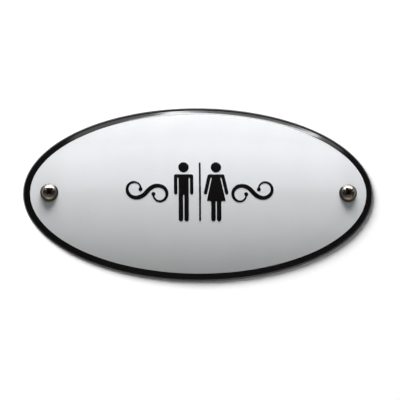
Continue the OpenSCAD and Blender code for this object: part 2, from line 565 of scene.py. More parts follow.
def stacked(parts: Sequence[np.ndarray]) -> tuple[np.ndarray, list[range]]:
    """Puts sets of points one after another, and says which numbers each has."""
    ends = np.cumsum([0] + [len(part) for part in parts])
    return np.vstack(parts), [range(a, b) for a, b in zip(ends, ends[1:])]


def triangulated(points: np.ndarray, loops: Sequence[Sequence[int]]
                 ) -> tuple[np.ndarray, list[tuple[list[int], set[int]]]]:
    """Triangles over points of the plane that keep every loop's edges.

    Args:
        points: the points.
        loops: closed loops, as numbers of points.

    Returns:
        The points, with any crossing of loops added at the end, and each triangle with the
        set of loops that it lies in.
    """
    made = geometry.delaunay_2d_cdt([Vector(p) for p in points.tolist()], [],
                                    [list(map(int, loop)) for loop in loops], 0, CROSSING)
    where, _, faces, origin, _, inside = made
    extra: list[list[float]] = []
    number: list[int] = []
    for place, sources in zip(where, origin):
        if sources:
            number.append(sources[0])
        else:
            number.append(len(points) + len(extra))
            extra.append([place.x, place.y])
    every = np.vstack([points, extra]) if extra else points
    return every, [([number[v] for v in face], set(held)) for face, held in zip(faces, inside)]


class Skin:
    """A closed skin in the making, in millimetres in the sign's own plane."""

    def __init__(self) -> None:
        """Starts with nothing."""
        self.points: list[np.ndarray] = []
        self.count = 0
        self.faces: list[list[int]] = []
        self.finishes: list[int] = []

    def add(self, points: np.ndarray) -> np.ndarray:
        """Adds points.

        Args:
            points: rows of three numbers.

        Returns:
            The numbers of the points in the skin.
        """
        first = self.count
        self.points.append(np.asarray(points, float))
        self.count += len(points)
        return np.arange(first, self.count)

    def fill(self, faces: Sequence[Sequence[int]], finish: int = 0) -> None:
        """Adds faces that wear the finish with that number."""
        self.faces += [[int(v) for v in f] for f in faces]
        self.finishes += [finish] * len(faces)

    def fan(self, z: float, loop: Sequence[int]) -> None:
        """Closes a loop with triangles to a point on the z axis."""
        hub = self.add(np.array([[0.0, 0.0, z]]))[0]
        self.fill([[hub, a, b] for a, b in zip(loop, [*loop[1:], loop[0]])])

    def bridge(self, rings: Sequence[np.ndarray], finish: int = 0, closed: bool = False) -> None:
        """Joins rings of points with bands of quads.

        Args:
            rings: the rings' numbers, all of one length.
            finish: the number of the finish that the bands wear.
            closed: joins the last ring to the first, too.
        """
        pairs = list(zip(rings, rings[1:])) + ([(rings[-1], rings[0])] if closed else [])
        for a, b in pairs:
            self.fill(np.column_stack([a, np.roll(a, -1), np.roll(b, -1), b]), finish)

    def lathe(self, profile: Sequence[tuple[float, float]], count: int) -> Skin:
        """Turns a profile round the z axis.

        Args:
            profile: its (radius, height) pairs; both ends lie on the axis.
            count: how many sides the turned shape has.

        Returns:
            The skin itself.
        """
        rings = [self.add(raised(circle((0, 0), r, count), z)) for r, z in profile[1:-1]]
        self.bridge(rings)
        self.fan(profile[0][1], rings[0])
        self.fan(profile[-1][1], rings[-1])
        return self

    def mesh(self, name: str) -> bpy.types.Mesh:
        """Makes the mesh, with its faces turned outwards.

        Args:
            name: the mesh's name.

        Returns:
            The mesh, still in millimetres.
        """
        mesh = bpy.data.meshes.new(name)
        mesh.from_pydata(np.vstack(self.points).tolist(), [], self.faces)
        mesh.polygons.foreach_set("material_index", self.finishes)
        whole = bmesh.new()
        whole.from_mesh(mesh)
        bmesh.ops.remove_doubles(whole, verts=whole.verts, dist=WELD)
        loose = [v for v in whole.verts if not v.link_faces]
        bmesh.ops.delete(whole, geom=loose, context="VERTS")
        bmesh.ops.recalc_face_normals(whole, faces=whole.faces)
        whole.to_mesh(mesh)
        whole.free()
        return mesh


def upright() -> Matrix:
    """Stands the sign up and turns millimetres into metres."""
    return Matrix.Scale(MM, 4) @ Matrix.Rotation(math.radians(90), 4, "X")


def placed(name: str, data: bpy.types.ID) -> bpy.types.Object:
    """Puts a mesh, a lamp or a camera in the scene.

    Args:
        name: the object's name.
        data: the mesh, lamp or camera.

    Returns:
        The object.
    """
    made = bpy.data.objects.new(name, data)
    bpy.context.scene.collection.objects.link(made)
    return made


def piece(mesh: bpy.types.Mesh, place: Matrix, node: str,
          materials: Sequence[bpy.types.Material], sharp: float = 40.0) -> bpy.types.Object:
    """Puts a finished mesh in the scene in place of a node of the frame.

    Args:
        mesh: its mesh, in millimetres; the piece takes the mesh's name.
        place: what brings the mesh to its place in the frame.
        node: the node that it stands for.
        materials: its finishes, in the order of the faces' numbers.
        sharp: edges that turn more than this many degrees stay sharp.

    Returns:
        The piece.
    """
    mesh.transform(place)
    for material in materials:
        mesh.materials.append(material)
    mesh.shade_smooth()
    mesh.set_sharp_from_angle(angle=math.radians(sharp))
    made = placed(mesh.name, mesh)
    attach(made, BODY)
    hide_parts(node)
    LOG.info("%s: %d faces", made.name, len(mesh.polygons))
    return made


# The plate


@dataclass
class EnamelPlate:
    """The domed plate, white on its face and round its edge, with a dark ground coat behind."""

    oval: DomedOval
    foot_width: float = 0.5
    hole_r: float = 1.6
    lip: float = 0.3  # radius of the holes' edges
    lip_rings: int = 6
    hole_points: int = 64
    step: float = 0.6  # between the points of the face
    keep_off: float = 0.55  # between them and the rim or a hole, in steps

    def build(self, white: bpy.types.Material, ground: bpy.types.Material) -> bpy.types.Object:
        """Builds and dresses the plate.

        Args:
            white: the finish of its face, number 0.
            ground: the finish of its back, number 1.

        Returns:
            The piece.
        """
        skin, oval = Skin(), self.oval
        front = self._face(skin, oval.rim_round, oval.front, 0)
        back = self._face(skin, self.foot_width + 2 * oval.foot_round, oval.back, 1)
        edge = self._edge(skin)
        skin.bridge([front[0], *edge], 0)
        flat = skin.add(raised(oval.outline(oval.foot_round + self.foot_width), 0.0))
        skin.bridge([edge[-1], flat, back[0]], 1)
        for side, above, below in zip((-1.0, 1.0), front[1:], back[1:]):
            self._hole(skin, side, above, below)
        return piece(skin.mesh("enamel_plate"), upright(), "plate",
                     [white, ground], 55.0)

    def _face(self, skin: Skin, inset: float, height: Height, finish: int) -> list[np.ndarray]:
        """Adds the plate's face or back, with its two holes.

        Args:
            skin: the plate's skin.
            inset: how far inside the outline it ends.
            height: the height of the surface over points of the plane.
            finish: the number of its finish.

        Returns:
            The numbers of its outer ring and of the ring round each hole.
        """
        oval, mouth = self.oval, self.hole_r + self.lip
        rings = [oval.outline(inset)]
        rings += [circle((side * oval.hole_x, 0), mouth, self.hole_points) for side in (-1, 1)]
        grid = away_from(oval.grid(inset, self.step), np.vstack(rings), self.step * self.keep_off)
        off_axis = np.abs(np.abs(grid[:, 0]) - oval.hole_x)
        grid = grid[np.hypot(off_axis, grid[:, 1]) > mouth]
        flat, held_by = stacked([*rings, grid])
        flat, triangles = triangulated(flat, held_by[:-1])
        numbers = skin.add(raised(flat, height(flat)))
        skin.fill([numbers[t] for t, held in triangles if held == {0}], finish)
        return [numbers[loop] for loop in held_by[:-1]]

    def _edge(self, skin: Skin) -> list[np.ndarray]:
        """Adds the rounded front edge, the plain side and the rounded back edge.

        Args:
            skin: the plate's skin.

        Returns:
            The rings' numbers, from the face to the foot.
        """
        oval = self.oval
        rings = [skin.add(oval.over_rim(turn)) for turn in quarter_turn(12, start=7.5)]
        for turn in quarter_turn(6):
            flat = oval.outline(oval.foot_round * (1 - math.cos(turn)))
            rings.append(skin.add(raised(flat, oval.foot_round * (1 - math.sin(turn)))))
        return rings

    def _hole(self, skin: Skin, side: float, front: np.ndarray, back: np.ndarray) -> None:
        """Joins the face to the back through one hole, over two rounded lips.

        Args:
            skin: the plate's skin.
            side: -1 for the left-hand hole, 1 for the right-hand one.
            front: the numbers of the ring round it in the face.
            back: those of the ring in the back.
        """
        oval, rings = self.oval, []
        turns = quarter_turn(self.lip_rings, start=15)
        for height, sign, order in ((oval.front, -1, turns), (oval.back, 1, turns[::-1])):
            for turn in order:
                radius = self.hole_r + self.lip * (1 - math.sin(turn))
                flat = circle((side * oval.hole_x, 0), radius, self.hole_points)
                drop = self.lip * (1 - math.cos(turn))
                rings.append(skin.add(raised(flat, height(flat) + sign * drop)))
        skin.bridge([front, *rings[:self.lip_rings]], 0)
        skin.bridge([*rings[self.lip_rings - 1:], back], 1)


# The black coats


@dataclass
class BlackBorder:
    """The black coat along the rim: it starts with a rounded edge on the face and wraps the rim."""

    oval: DomedOval
    width: float = 1.93  # inside the plate's own outline
    coat: float = 0.12  # round the rim
    thin: float = 0.05  # the coat where it ends on the face
    lip: float = 0.03  # how far its edge on the face is rounded
    tail: float = 0.8  # height of its rounded end at the foot, in coats
    wander: float = 0.035  # how far its edge wavers
    waves: float = 0.16  # how many times it wavers in a millimetre

    def build(self, black: bpy.types.Material) -> bpy.types.Object:
        """Builds and dresses the border.

        Args:
            black: its finish.

        Returns:
            The piece.
        """
        skin, oval, rings = Skin(), self.oval, []
        for turn in quarter_turn(6):
            inset = self.width - self.lip * (1 - math.cos(turn))
            rings.append(self._on_face(skin, inset, self.thin * math.sin(turn), 1.0))
        for share in (0.75, 0.5, 0.25):
            inset = oval.rim_round + (self.width - self.lip - oval.rim_round) * share
            rings.append(self._on_face(skin, inset, self.thin, share))
        for turn in quarter_turn(16):
            full = self.thin + (self.coat - self.thin) * math.sin(turn)
            rings.append(skin.add(oval.over_rim(turn, full)))
        for turn in quarter_turn(5):
            flat = oval.outline(-self.coat * math.cos(turn))
            drop = self.coat * self.tail * math.sin(turn)
            rings.append(skin.add(raised(flat, oval.foot_round + self.coat * self.tail - drop)))
        rings.append(skin.add(raised(oval.outline(SUNK), oval.foot_round)))
        for turn in quarter_turn(8, 90, 0):
            rings.append(skin.add(oval.over_rim(turn, -SUNK)))
        rings.append(self._on_face(skin, self.width, -SUNK, 1.0))
        skin.bridge(rings, closed=True)
        return piece(skin.mesh("black_rim_coat"), upright(), "black_border",
                     [black])

    def _on_face(self, skin: Skin, inset: float, lift: float, share: float) -> np.ndarray:
        """Adds a ring over the face.

        Args:
            skin: the border's skin.
            inset: how far inside the plate's outline it runs.
            lift: how far it stands off the face.
            share: the share of the border's waver that it has.

        Returns:
            The ring's numbers.
        """
        flat = self.oval.outline(inset)
        drift = [noise.noise((x * self.waves, y * self.waves, 4.0)) for x, y in flat]
        inwards = self.oval.outline(inset + 1.0) - flat
        flat = flat + inwards * (np.array(drift) * self.wander * share)[:, None]
        return skin.add(raised(flat, self.oval.front(flat) + lift))


@dataclass
class Pictogram:
    """Two figures beside a bar, between two scrolls: a raised coat with rounded edges."""

    oval: DomedOval
    coat: float = 0.12
    lip: float = 0.12
    figure_h: float = 17.0
    figure_gap: float = 4.6
    head_d: float = 3.0
    arm_d: float = 1.0
    leg_d: float = 1.3
    slit: float = 0.3
    neck_gap: float = 0.5
    hand_y: float = -0.4
    hip_y: float = -0.9
    hem_y: float = -2.7
    bodice_w: float = 2.2
    skirt_w: float = 5.4
    bar_w: float = 0.55
    scroll_gap: float = 1.4
    scroll_w: float = 12.5
    scroll_turn: float = 330.0
    scroll_lean: float = -50.0
    scroll_curl: float = 1.4
    scroll_steps: int = 240
    stroke_w: float = 1.25
    stroke_fade: float = 1.5
    hairline_w: float = 0.45
    ball_d: float = 1.2
    step: float = 0.11  # between the points of an outline
    fill_step: float = 0.55  # between the points inside it
    keep_off: float = 0.22  # between those and the outline
    softening: int = 6
    wander: float = 0.02  # how far the outline wavers
    waves: float = 0.8  # how many times it wavers in a millimetre

    @property
    def leg_x(self) -> float:
        """From a figure's middle to the middle of a leg."""
        return (self.leg_d + self.slit) / 2

    def build(self, black: bpy.types.Material) -> bpy.types.Object:
        """Builds and dresses the pictogram.

        Args:
            black: its finish.

        Returns:
            The piece.
        """
        skin = Skin()
        for outline in self._outlines():
            self._raise(skin, self._softened(outline))
        return piece(skin.mesh("black_pictogram"), upright(), "pictogram",
                     [black])

    @staticmethod
    def _limb(start: tuple[float, float], end: tuple[float, float], width: float) -> np.ndarray:
        """A straight bar with round ends.

        Args:
            start: the centre of one end's rounding.
            end: the centre of the other.
            width: the bar's width.

        Returns:
            Its outline, anticlockwise.
        """
        lean = math.atan2(end[1] - start[1], end[0] - start[0])
        half = np.linspace(-np.pi / 2, np.pi / 2, 25)
        caps = []
        for centre, turn in ((end, lean), (start, lean + np.pi)):
            caps.append(np.asarray(centre)
                        + width / 2 * np.column_stack([np.cos(half + turn), np.sin(half + turn)]))
        return np.vstack(caps)

    def _figure(self, middle: float, top_x: float, hem_x: float, body_y: float
                ) -> list[np.ndarray]:
        """One figure's head, shoulders, body, arms and legs.

        Args:
            middle: where it stands along the sign.
            top_x: half its body's width at the shoulders.
            hem_x: half its body's width at the bottom.
            body_y: the height of the body's bottom.

        Returns:
            Its overlapping shapes.
        """
        shoulder_y = self.figure_h / 2 - self.head_d - self.neck_gap - self.arm_d / 2
        lean = (hem_x - top_x) / (shoulder_y - body_y)
        arm_out = (self.slit + self.arm_d / 2) * math.hypot(1, lean)
        arm_x = top_x + arm_out
        hand_x = arm_x + lean * (shoulder_y - self.hand_y)
        foot_y = (self.leg_d - self.figure_h) / 2
        low, high = shoulder_y - self.arm_d / 2, shoulder_y + self.arm_d / 2
        shapes = [
            circle((0, (self.figure_h - self.head_d) / 2), self.head_d / 2, 96),
            np.array([(-arm_x, low), (arm_x, low), (arm_x, high), (-arm_x, high)]),
            np.array([(-hem_x, body_y), (hem_x, body_y),
                      (top_x, shoulder_y), (-top_x, shoulder_y)]),
        ]
        for side in (-1, 1):
            hip_x = side * self.leg_x
            shapes.append(self._limb((side * arm_x, shoulder_y), (side * hand_x, self.hand_y),
                                     self.arm_d))
            shapes.append(self._limb((hip_x, body_y), (hip_x, foot_y), self.leg_d))
        return [shape + np.array([middle, 0]) for shape in shapes]

    def _scroll(self) -> list[np.ndarray]:
        """A scroll about the origin: a stroke that thins as it curls, and a ball at each end.

        Returns:
            Its overlapping shapes.
        """
        t = np.linspace(0, 1, self.scroll_steps + 1)
        heading = np.radians(self.scroll_lean + self.scroll_turn * t ** self.scroll_curl)
        middle = (t[1:] + t[:-1]) / 2
        step = np.radians(self.scroll_lean + self.scroll_turn * middle ** self.scroll_curl)
        line = np.vstack([[0, 0], np.cumsum(np.column_stack([np.cos(step), np.sin(step)]), 0)])
        line *= (self.scroll_w - self.stroke_w) / (2 * np.abs(line[:, 0]).max())
        fade = np.clip(np.cos(np.pi / 2 * t), 0, 1) ** self.stroke_fade
        half = (self.hairline_w + (self.stroke_w - self.hairline_w) * fade) / 2
        across = np.column_stack([-np.sin(heading), np.cos(heading)]) * half[:, None]
        edge = np.vstack([line - across, (line + across)[::-1]])
        ball = circle(line[-1], self.ball_d / 2, 48)
        return [shape * turn for turn in (1, -1) for shape in (edge, ball)]

    def _outlines(self) -> list[np.ndarray]:
        """Lays out the figures, the bar and the scrolls.

        Returns:
            The outlines, each anticlockwise.
        """
        hip_x = self.leg_x + self.leg_d / 2
        end = (self.figure_h - self.bar_w) / 2
        at = self.figure_gap + self.skirt_w / 2 + self.scroll_gap + self.scroll_w / 2
        right_scroll = [shape + np.array([at, 0]) for shape in self._scroll()]
        groups = [
            self._figure(-self.figure_gap, hip_x, hip_x, self.hip_y),
            self._figure(self.figure_gap, self.bodice_w / 2, self.skirt_w / 2, self.hem_y),
            [self._limb((0, end), (0, -end), self.bar_w)],
            right_scroll,
            [(shape * np.array([-1, 1]))[::-1] for shape in right_scroll],
        ]
        return [loop for shapes in groups for loop in self._joined(shapes)]

    @staticmethod
    def _joined(shapes: Sequence[np.ndarray]) -> list[np.ndarray]:
        """Joins overlapping shapes and walks round what they cover.

        Args:
            shapes: their outlines.

        Returns:
            The outline of each island that they cover.
        """
        points, triangles = triangulated(*stacked(shapes))
        onward: dict[tuple[int, int], None] = {}
        for corners, held in triangles:
            if held:
                onward.update(dict.fromkeys(zip(corners, corners[1:] + corners[:1])))
        following = {a: b for a, b in onward if (b, a) not in onward}
        outlines = []
        while following:
            walk = [next(iter(following))]
            while walk[-1] in following:
                walk.append(following.pop(walk[-1]))
            outlines.append(points[walk[:-1]])
        return outlines

    def _softened(self, outline: np.ndarray) -> np.ndarray:
        """Spaces an outline's points evenly, rounds its corners and lets it waver a little.

        Args:
            outline: the outline.

        Returns:
            The softened outline.
        """
        closed = np.vstack([outline, outline[:1]])
        along = np.concatenate([[0], np.cumsum(np.hypot(*np.diff(closed, axis=0).T))])
        count = max(12, int(along[-1] / self.step))
        at = np.linspace(0, along[-1], count, endpoint=False)
        loop = np.column_stack([np.interp(at, along, closed[:, k]) for k in (0, 1)])
        for _ in range(self.softening):
            loop = loop / 2 + (np.roll(loop, 1, 0) + np.roll(loop, -1, 0)) / 4
        drift = [noise.noise((x * self.waves, y * self.waves, 9.0)) for x, y in loop]
        return loop + self._inwards(loop) * (np.array(drift) * self.wander)[:, None]

    @staticmethod
    def _inwards(loop: np.ndarray) -> np.ndarray:
        """The direction into an anticlockwise loop at each of its points."""
        along = np.roll(loop, -1, 0) - np.roll(loop, 1, 0)
        return np.column_stack([-along[:, 1], along[:, 0]]) / np.hypot(*along.T)[:, None]

    def _raise(self, skin: Skin, loop: np.ndarray) -> None:
        """Adds one closed island of the coat.

        Args:
            skin: the pictogram's skin.
            loop: the island's outline, anticlockwise.
        """
        rings = [skin.add(raised(loop, self.oval.front(loop) - SUNK))]
        inwards = self._inwards(loop)
        for turn in quarter_turn(6):
            flat = loop + inwards * self.lip * (1 - math.cos(turn))
            lift = self.coat * math.sin(turn)
            rings.append(skin.add(raised(flat, self.oval.front(flat) + lift)))
        skin.bridge(rings)
        low, high = loop.min(0), loop.max(0)
        grid = self.oval.grid(1.0, self.fill_step)
        grid = grid[np.all((grid > low) & (grid < high), axis=1)]
        for ring, edge, points, lift in (
            (rings[-1], flat, away_from(grid, flat, self.keep_off), self.coat),
            (rings[0], loop, np.zeros((0, 2)), -SUNK),
        ):
            every, triangles = triangulated(np.vstack([edge, points]), [range(len(edge))])
            more = every[len(edge):]
            numbers = np.concatenate([ring, skin.add(raised(more, self.oval.front(more) + lift))])
            skin.fill([numbers[t] for t, held in triangles if held])


# The screws


@dataclass(frozen=True)
class CrossRecess:
    """The cutters of a cross recess; every height is over the bottom of the screw's head."""

    head_h: float
    width: float = 2.9
    depth: float = 1.3
    wing_w: float = 0.65
    rim: float = 0.3  # depth over which it keeps its full width
    tip_l: float = 0.2  # half a wing's length at the bottom, in widths
    tip_w: float = 0.38  # half its thickness there, in thicknesses
    flare_l: float = 0.2  # how far a wing widens above the rim
    flare_w: float = 0.05
    over: float = 1.0  # how far the cutters run past the head
    pilot: tuple[tuple[float, float], ...] = ((0.0, -0.25), (0.12, -0.2), (0.62, 0.45))
    mouth_r: float = 0.98

    @property
    def bottom(self) -> float:
        """The height of the wings' bottom."""
        return self.head_h - self.depth

    @property
    def top(self) -> float:
        """The height of the cutters' top."""
        return self.head_h + self.over

    def cutters(self) -> list[bpy.types.Object]:
        """Makes the two wings and the round pilot between them.

        Returns:
            The cutters.
        """
        wings = [scratch(self._wing(quarter).mesh("wing")) for quarter in (0, 1)]
        profile = [(r, self.bottom + z) for r, z in self.pilot]
        cone = Skin().lathe([*profile, (self.mouth_r, self.top), (0.0, self.top)], 32)
        return [*wings, scratch(cone.mesh("cone"))]

    def _wing(self, quarter: int) -> Skin:
        """A tapered blade that cuts two opposite wings of the recess.

        Args:
            quarter: 0 for the first blade, 1 for the one across it.

        Returns:
            The blade's skin.
        """
        skin, rings = Skin(), []
        for half_l, half_w, z in (
            (self.width * self.tip_l, self.wing_w * self.tip_w, self.bottom),
            (self.width / 2, self.wing_w / 2, self.head_h - self.rim),
            (self.width / 2 + self.flare_l, self.wing_w / 2 + self.flare_w, self.top),
        ):
            flat = np.array([(half_l, half_w), (-half_l, half_w), (-half_l, -half_w),
                             (half_l, -half_w)])
            if quarter:
                flat = flat[:, ::-1] * np.array([-1, 1])
            rings.append(skin.add(raised(flat, z)))
        skin.bridge(rings)
        skin.fill([rings[0], rings[-1]])
        return skin


@dataclass(frozen=True)
class PaintedShade:
    """Where shade is painted on a screw: in the recess, between the threads and round the head's
    lower edge; every height is over the bottom of its head.
    """

    recess_reach: float = 0.6  # how far out it lies in the recess, in the recess's widths
    recess_from: float = 0.2
    between_threads: float = 0.45
    threads_below: float = -0.5
    # the skirt is painted shade round the head's lower edge, where the head meets the face
    skirt_top: float = 1.45
    skirt_rise: float = 1.6  # how fast it thickens below the skirt's top
    skirt_from: float = -0.05
    skirt_in: float = 0.3  # where the skirt starts, in the head's diameters

    def depths(self, places: np.ndarray, screw: WoodScrew) -> np.ndarray:
        """How much painted shade each point of a screw takes.

        Args:
            places: the points, with the screw along the z axis.
            screw: the screw's sizes.

        Returns:
            0 where no shade is painted, to 1.
        """
        x, y, z = places.T
        off_axis = np.hypot(x, y)
        radius, centre = screw.ball
        below = radius - np.hypot(off_axis, z - centre)
        near = off_axis < screw.recess.width * self.recess_reach
        # each term is painted shade: down in the recess, at the thread's roots, and round the
        # head's lower edge
        recess = (below / screw.recess.depth) * near * (z > self.recess_from)
        share = 1 - (off_axis - screw.core_r) / (screw.thread_r - screw.core_r)
        root = share * self.between_threads * (z < self.threads_below)
        skirt = (self.skirt_top - z) * self.skirt_rise * (z > self.skirt_from)
        skirt = skirt * (off_axis > screw.head_d * self.skirt_in)
        return np.clip(np.maximum.reduce([recess, root, skirt]), 0, 1)


@dataclass
class WoodScrew:
    """A round-head wood screw with a cross recess, a bare neck, a cut thread and a point."""

    oval: DomedOval
    head_d: float = 5.2
    head_h: float = 1.9
    head_edge: float = 0.12  # height of its plain side
    head_sides: int = 96
    clearance: float = 0.03  # between the head and the dome
    length: float = 16.0
    neck_r: float = 0.95
    neck_sides: int = 49  # no side in line with one of the thread's
    fillet: float = 0.1  # under the head
    tucked: float = 0.06  # how far the neck's lower end lies inside the core
    thread_r: float = 1.25
    core_r: float = 0.86
    pitch: float = 1.1
    run_in: float = 0.6  # over which the thread starts, in pitches
    point_l: float = 3.0
    point_r: float = 0.08
    thread_from: float = 0.3  # behind the wall plane
    around: int = 48  # points in a turn of the thread
    voxel: float = 0.04
    sliver: float = 0.002  # edges shorter than this are closed up
    crest: tuple[tuple[float, float], ...] = (  # (share of the pitch, share of the height)
        (0.0, 0.0), (0.22, 0.16), (0.36, 0.75), (0.42, 1.0),
        (0.48, 1.0), (0.54, 0.75), (0.68, 0.16), (0.9, 0.0),
    )

    @property
    def recess(self) -> CrossRecess:
        """The recess in its head."""
        return CrossRecess(self.head_h)

    @property
    def seat(self) -> float:
        """The height that the head sits at, on the higher side of the dome."""
        inner = np.array([[self.oval.hole_x - self.head_d / 2, 0.0]])
        return float(self.oval.front(inner)[0]) + self.clearance

    @property
    def ball(self) -> tuple[float, float]:
        """The radius of the head's round top, and the height of its centre."""
        radius = (self.head_h ** 2 + (self.head_d / 2) ** 2) / (2 * self.head_h)
        return radius, self.head_h - radius

    def build(self, metal: bpy.types.Material, turns: Mapping[str, float]
              ) -> list[bpy.types.Object]:
        """Builds and dresses both screws.

        Args:
            metal: their finish.
            turns: how far each screw's recess is turned, in degrees, left one first.

        Returns:
            The pieces.
        """
        master = self._joined(self._head(), self._shank())
        pieces = []
        for side, (node, turn) in zip((-1, 1), turns.items()):
            mesh = master.copy()
            mesh.name = f"{node}_metal"
            place = Matrix.Translation((side * self.oval.hole_x, 0, self.seat))
            place = upright() @ place @ Matrix.Rotation(math.radians(turn), 4, "Z")
            pieces.append(piece(mesh, place, node, [metal], 38.0))
        return pieces

    def _head(self) -> bpy.types.Object:
        """Makes the domed head with its cross recess, its edges slightly worn.

        Returns:
            The head.
        """
        radius, centre = self.ball
        profile = [(0.0, 0.0), (self.head_d / 2 - self.head_edge, 0.0)]
        low = math.atan2(self.head_edge - centre, self.head_d / 2)
        for turn in np.linspace(low, math.pi / 2, 28):
            profile.append((radius * math.cos(turn), centre + radius * math.sin(turn)))
        profile[-1] = (0.0, self.head_h)
        head = scratch(Skin().lathe(profile, self.head_sides).mesh("head"))
        cutters = self.recess.cutters()
        for cutter in cutters:
            add_modifier(head, "BOOLEAN", operation="DIFFERENCE", object=cutter)
        add_modifier(head, "REMESH", mode="VOXEL", voxel_size=self.voxel)
        add_modifier(head, "SMOOTH", factor=0.5, iterations=3)
        return settled(head, cutters)

    def _shank(self) -> list[bpy.types.Object]:
        """Makes the bare neck under the head and the thread below it.

        Returns:
            The neck and the thread.
        """
        top = -self.thread_from - self.seat
        low_r = self.core_r - self.tucked
        neck = Skin().lathe([(0.0, 0.3), (self.neck_r, 0.3), (self.neck_r + self.fillet, 0.0),
                             (self.neck_r, -0.12), (self.neck_r, top + 0.05),
                             (low_r, top - 0.35), (low_r, top - 1.0), (0.0, top - 1.0)],
                            self.neck_sides)
        return [scratch(neck.mesh("neck")), scratch(self._thread(top).mesh("thread"))]

    def _thread(self, top: float) -> Skin:
        """A right-hand thread whose rows of points follow the helix, down to the point.

        Args:
            top: the height at which it starts.

        Returns:
            The thread's skin.
        """
        around, pitch = self.around, self.pitch
        rows = int(((self.length + top) / pitch - 1) * around)
        points = []
        for i in range(rows + around + 1):
            angle = -2 * math.pi * i / around
            for share, height in self.crest:
                z = max(top - pitch * (i / around + share), -self.length)
                start = min(1.0, (top - z) / (self.run_in * pitch))
                taper = min(1.0, (z + self.length) / self.point_l)
                core = max(self.point_r, self.core_r * taper ** 0.8)
                outer = max(core, self.thread_r * taper ** 0.7)
                radius = core + (outer - core) * height * start
                points.append((radius * math.cos(angle), radius * math.sin(angle), z))
        skin = Skin()
        numbers = skin.add(np.array(points)).reshape(-1, len(self.crest))
        for i in range(rows):
            near = [*numbers[i], numbers[i + around][0]]
            far = [*numbers[i + 1], numbers[i + 1 + around][0]]
            skin.fill([[near[k], near[k + 1], far[k + 1], far[k]] for k in range(len(self.crest))])
        for row, z in ((0, top), (rows, -self.length)):
            skin.fan(z, [*numbers[row:row + around + 1, 0], *numbers[row][:0:-1]])
        return skin

    def _joined(self, head: bpy.types.Object, shank: Sequence[bpy.types.Object]
                ) -> bpy.types.Mesh:
        """Makes one skin of the head and the shank, and notes how much painted shade each point
        takes.

        Args:
            head: the head.
            shank: the parts below it.

        Returns:
            The screw's mesh, with its painted shade as the "depth" attribute.
        """
        for part in shank:
            add_modifier(head, "BOOLEAN", operation="UNION", object=part)
        whole = settled(head, shank)
        mesh = whole.data
        bpy.data.objects.remove(whole)
        skin = bmesh.new()
        skin.from_mesh(mesh)
        bmesh.ops.dissolve_degenerate(skin, dist=self.sliver, edges=skin.edges)
        skin.to_mesh(mesh)
        skin.free()
        places = np.zeros(len(mesh.vertices) * 3)
        mesh.vertices.foreach_get("co", places)
        # the "depth" attribute holds painted shade for the recess, the thread's roots and the
        # head's lower edge
        layer = mesh.attributes.new("depth", "FLOAT", "POINT")
        layer.data.foreach_set("value", PaintedShade().depths(places.reshape(-1, 3), self))
        return mesh


def scratch(mesh: bpy.types.Mesh) -> bpy.types.Object:
    """Puts a mesh in the scene for the time that modifiers need it."""
    return placed(f"scratch_{mesh.name}", mesh)


def add_modifier(target: bpy.types.Object, kind: str, **settings: Any) -> None:
    """Adds a modifier with its settings.

    Args:
        target: the object that it is for.
        kind: the modifier's type.
        settings: its properties, by name.
    """
    made = target.modifiers.new(kind.lower(), kind)
    for name, value in settings.items():
        setattr(made, name, value)


def settled(target: bpy.types.Object, helpers: Sequence[bpy.types.Object]) -> bpy.types.Object:
    """Applies an object's modifiers and removes the objects that only they used.

    Args:
        target: the object with modifiers.
        helpers: objects that are no longer needed.

    Returns:
        The object, with its final mesh.
    """
    bpy.context.view_layer.update()
    graph = bpy.context.evaluated_depsgraph_get()
    mesh = bpy.data.meshes.new_from_object(target.evaluated_get(graph), depsgraph=graph)
    target.modifiers.clear()
    target.data = mesh
    for helper in helpers:
        bpy.data.objects.remove(helper)
    return target


# The stage


class Lit(Enum):
    """What a lamp lights."""

    SIGN = "sign"
    WHITE = "white_enamel"
    BLACK = "black_enamel"
    METAL = "screws"
    WALL = "wall"


def direction(azimuth: float, elevation: float) -> Vector:
    """The way from the sign to a place, by its angles in degrees to the viewer's right and up."""
    a, e = math.radians(azimuth), math.radians(elevation)
    return Vector((math.sin(a) * math.cos(e), -math.cos(a) * math.cos(e), math.sin(e)))


@dataclass(frozen=True)
class SoftBox:
    """A soft rectangular lamp that faces the sign; its lengths are in metres."""

    name: str
    azimuth: float
    elevation: float
    distance: float
    width: float
    height: float
    radiance: float
    tint: Colour = WHITE
    lights: Lit = Lit.SIGN
    droop: float = 0.0  # how far its right-hand end hangs down, in degrees

    def hang(self, receivers: Mapping[Lit, bpy.types.Collection]) -> None:
        """Makes the lamp.

        Args:
            receivers: what each kind of lamp lights.
        """
        data = bpy.data.lights.new(self.name, "AREA")
        data.shape = "RECTANGLE"
        data.size, data.size_y = self.width, self.height
        data.energy = self.radiance * math.pi * self.width * self.height
        data.color = self.tint
        lamp = placed(self.name, data)
        towards = direction(self.azimuth, self.elevation)
        lamp.location = towards * self.distance
        droop = Quaternion((0, 0, 1), math.radians(-self.droop))
        lamp.rotation_euler = (towards.to_track_quat("Z", "Y") @ droop).to_euler()
        lamp.visible_camera = False
        lamp.light_linking.receiver_collection = receivers[self.lights]


def square(size: float) -> list[tuple[float, float]]:
    """The corners of a square about the origin."""
    half = size / 2
    return [(-half, -half), (half, -half), (half, half), (-half, half)]


def staged(name: str, corners: Sequence[Triple],
           material: bpy.types.Material) -> bpy.types.Object:
    """Puts one flat face in the scene as part of the stage.

    Args:
        name: the object's name.
        corners: the face's four corners, in metres.
        material: its finish.

    Returns:
        The object.
    """
    mesh = bpy.data.meshes.new(name)
    mesh.from_pydata(corners, [], [(0, 1, 2, 3)])
    mesh.materials.append(material)
    made = placed(name, mesh)
    return made


